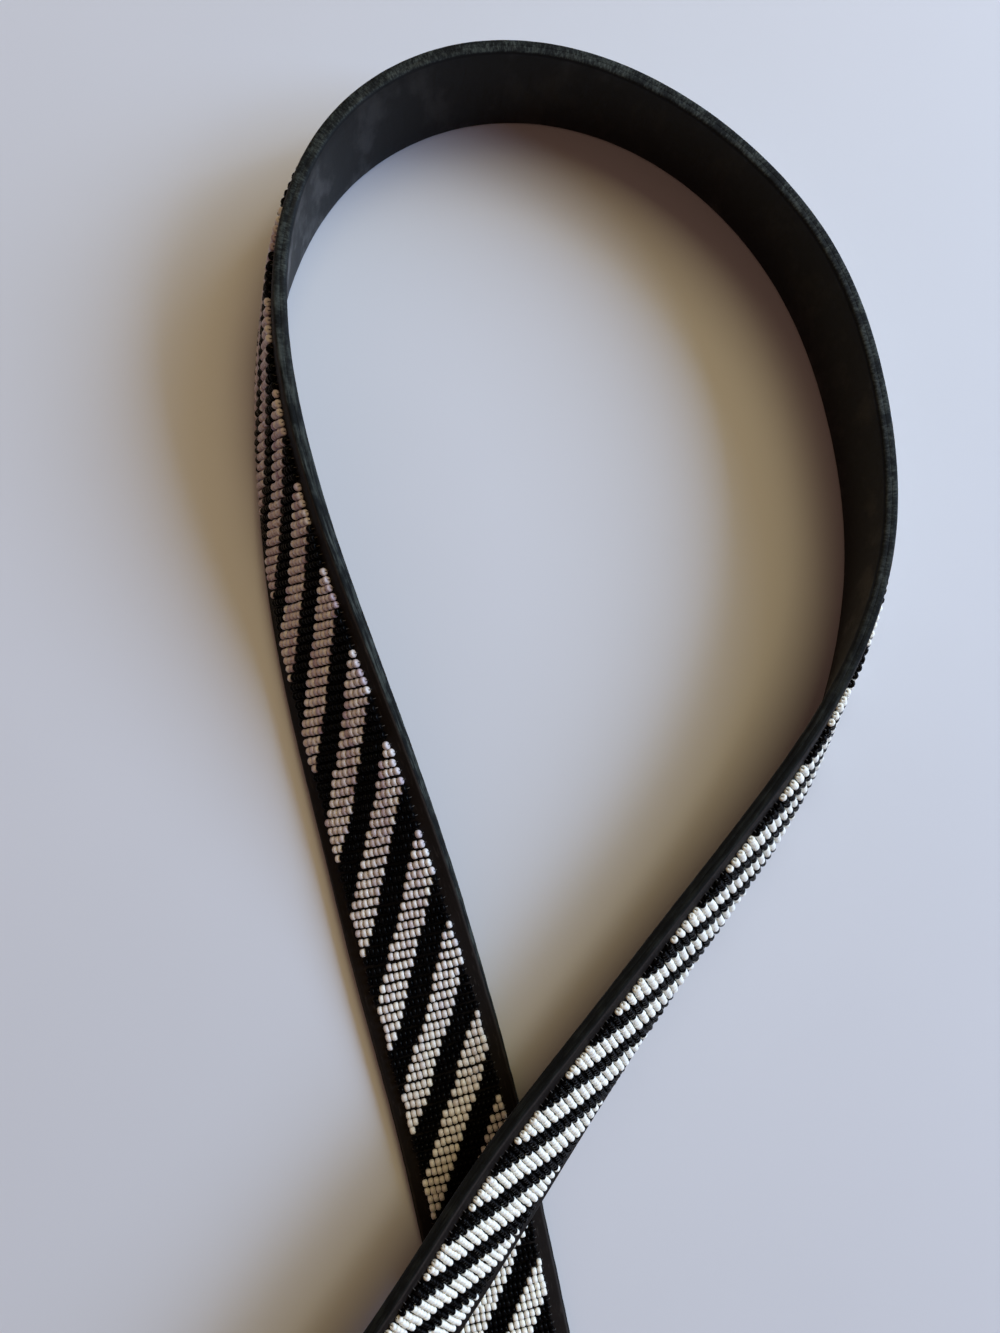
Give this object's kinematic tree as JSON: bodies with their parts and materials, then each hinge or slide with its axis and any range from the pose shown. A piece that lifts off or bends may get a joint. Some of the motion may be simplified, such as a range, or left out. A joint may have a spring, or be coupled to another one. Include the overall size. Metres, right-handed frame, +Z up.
{
  "type": "beaded leather belt",
  "caption": "Two-layer leather belt with a woven seed-bead band in black and white diagonal stripes, lying in an open loop with its ends crossed.",
  "frame": {"origin": "on the ground under the middle of the whole belt's box", "axes": "+Z up, +Y from the crossed ends to the top of the loop, +X towards the leg that leans outwards"},
  "size_m": [0.2312, 0.4784, 0.0373],
  "materials": {
    "leather_outer": "semi-matt, dark brown-black",
    "leather_inner": "smooth satin black",
    "beads_black": "glossy opaque glass",
    "beads_white": "glossy opaque glass",
    "bead_thread": "fine waxed thread",
    "steel": "plain polished steel"
  },
  "bodies": {
    "root": {"leather_front": "leather_outer", "leather_back": "leather_inner", "bead_panel": "beads_black", "buckle": "steel"}
  },
  "joints": []
}
